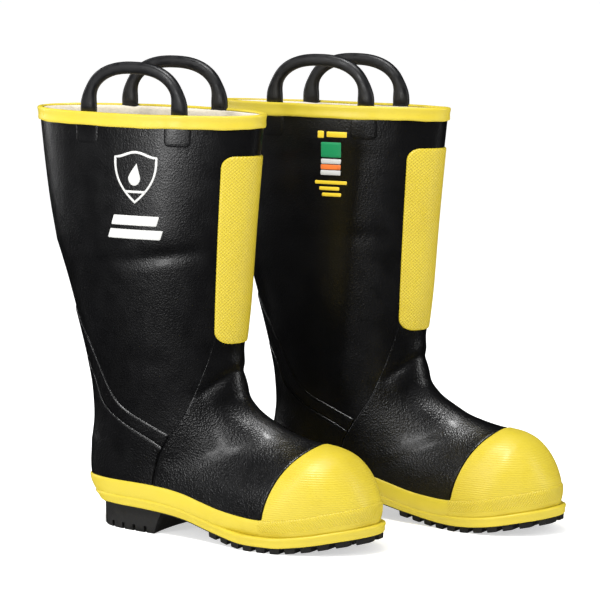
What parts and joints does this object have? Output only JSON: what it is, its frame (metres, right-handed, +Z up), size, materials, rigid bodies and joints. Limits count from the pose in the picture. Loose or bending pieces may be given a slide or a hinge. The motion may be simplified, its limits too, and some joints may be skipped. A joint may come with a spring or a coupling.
{
  "type": "rubber fire boots",
  "caption": "Tall pull-on rubber fire boots with yellow rim binding, shin guard, steel-toe cover and foxing, felt lining, lugged soles with separate heels, and flexing pull handles at the rim.",
  "frame": {"origin": "on the ground, under the centre of the two boots' common bounding box", "axes": "+Z up; toes point towards -Y; the right boot stands on the -X side and the left boot, further forward, on the +X side"},
  "size_m": [0.289, 0.4984, 0.4628],
  "materials": {
    "black_rubber": "semi-gloss moulded rubber with a fine pebble",
    "yellow_rubber": "satin, fine moulded texture",
    "handle_rubber": "matte",
    "tread_rubber": "matte",
    "filler_rubber": "matte sponge",
    "felt": "needled felt",
    "board": "matte fibre board",
    "steel": "rolled sheet"
  },
  "bodies": {
    "right_boot": {"right_leg_shell": "black_rubber", "right_vamp": "black_rubber", "right_heel_counter": "black_rubber", "right_ankle_strip": "black_rubber", "right_shin_guard": "yellow_rubber", "right_toe_cap_cover": "yellow_rubber", "right_foxing_band": "yellow_rubber", "right_toe_bumper_strip": "yellow_rubber", "right_welt": "yellow_rubber", "right_outsole": "tread_rubber", "right_heel_block": "tread_rubber", "right_top_binding": "yellow_rubber", "right_felt_liner": "felt", "right_footbed": "felt", "right_insole_board": "board", "right_steel_midsole_plate": "steel", "right_midsole_filler": "filler_rubber", "right_steel_shank": "steel", "right_steel_toe_cap": "steel", "right_toe_cap_gasket": "black_rubber", "right_handle_anchor_outer_front": "handle_rubber", "right_handle_anchor_outer_rear": "handle_rubber", "right_handle_anchor_inner_front": "handle_rubber", "right_handle_anchor_inner_rear": "handle_rubber"},
    "right_outer_handle": {"right_handle_outer": "handle_rubber"},
    "right_inner_handle": {"right_handle_inner": "handle_rubber"},
    "left_boot": {"left_leg_shell": "black_rubber", "left_vamp": "black_rubber", "left_heel_counter": "black_rubber", "left_ankle_strip": "black_rubber", "left_shin_guard": "yellow_rubber", "left_toe_cap_cover": "yellow_rubber", "left_foxing_band": "yellow_rubber", "left_toe_bumper_strip": "yellow_rubber", "left_welt": "yellow_rubber", "left_outsole": "tread_rubber", "left_heel_block": "tread_rubber", "left_top_binding": "yellow_rubber", "left_felt_liner": "felt", "left_footbed": "felt", "left_insole_board": "board", "left_steel_midsole_plate": "steel", "left_midsole_filler": "filler_rubber", "left_steel_shank": "steel", "left_steel_toe_cap": "steel", "left_toe_cap_gasket": "black_rubber", "left_handle_anchor_outer_front": "handle_rubber", "left_handle_anchor_outer_rear": "handle_rubber", "left_handle_anchor_inner_front": "handle_rubber", "left_handle_anchor_inner_rear": "handle_rubber"},
    "left_outer_handle": {"left_handle_outer": "handle_rubber"},
    "left_inner_handle": {"left_handle_inner": "handle_rubber"}
  },
  "joints": [
    {"name": "left_boot_lift", "type": "slide", "parent": "right_boot", "child": "left_boot", "axis": [0, 0, 1], "range_m": [0, 0.5]},
    {"name": "right_outer_handle_flex", "type": "hinge", "parent": "right_boot", "child": "right_outer_handle", "pos_m": [-0.11972, 0.11335, 0.41525], "axis": [0, 1, 0], "range_deg": [-20, 20], "stiffness_Nm_per_rad": 0.6},
    {"name": "right_inner_handle_flex", "type": "hinge", "parent": "right_boot", "child": "right_inner_handle", "pos_m": [-0.04828, 0.11335, 0.41775], "axis": [0, 1, 0], "range_deg": [-20, 20], "stiffness_Nm_per_rad": 0.6},
    {"name": "left_outer_handle_flex", "type": "hinge", "parent": "left_boot", "child": "left_outer_handle", "pos_m": [0.11972, 0.00435, 0.41525], "axis": [0, 1, 0], "range_deg": [-20, 20], "stiffness_Nm_per_rad": 0.6},
    {"name": "left_inner_handle_flex", "type": "hinge", "parent": "left_boot", "child": "left_inner_handle", "pos_m": [0.04828, 0.00435, 0.41775], "axis": [0, 1, 0], "range_deg": [-20, 20], "stiffness_Nm_per_rad": 0.6}
  ]
}
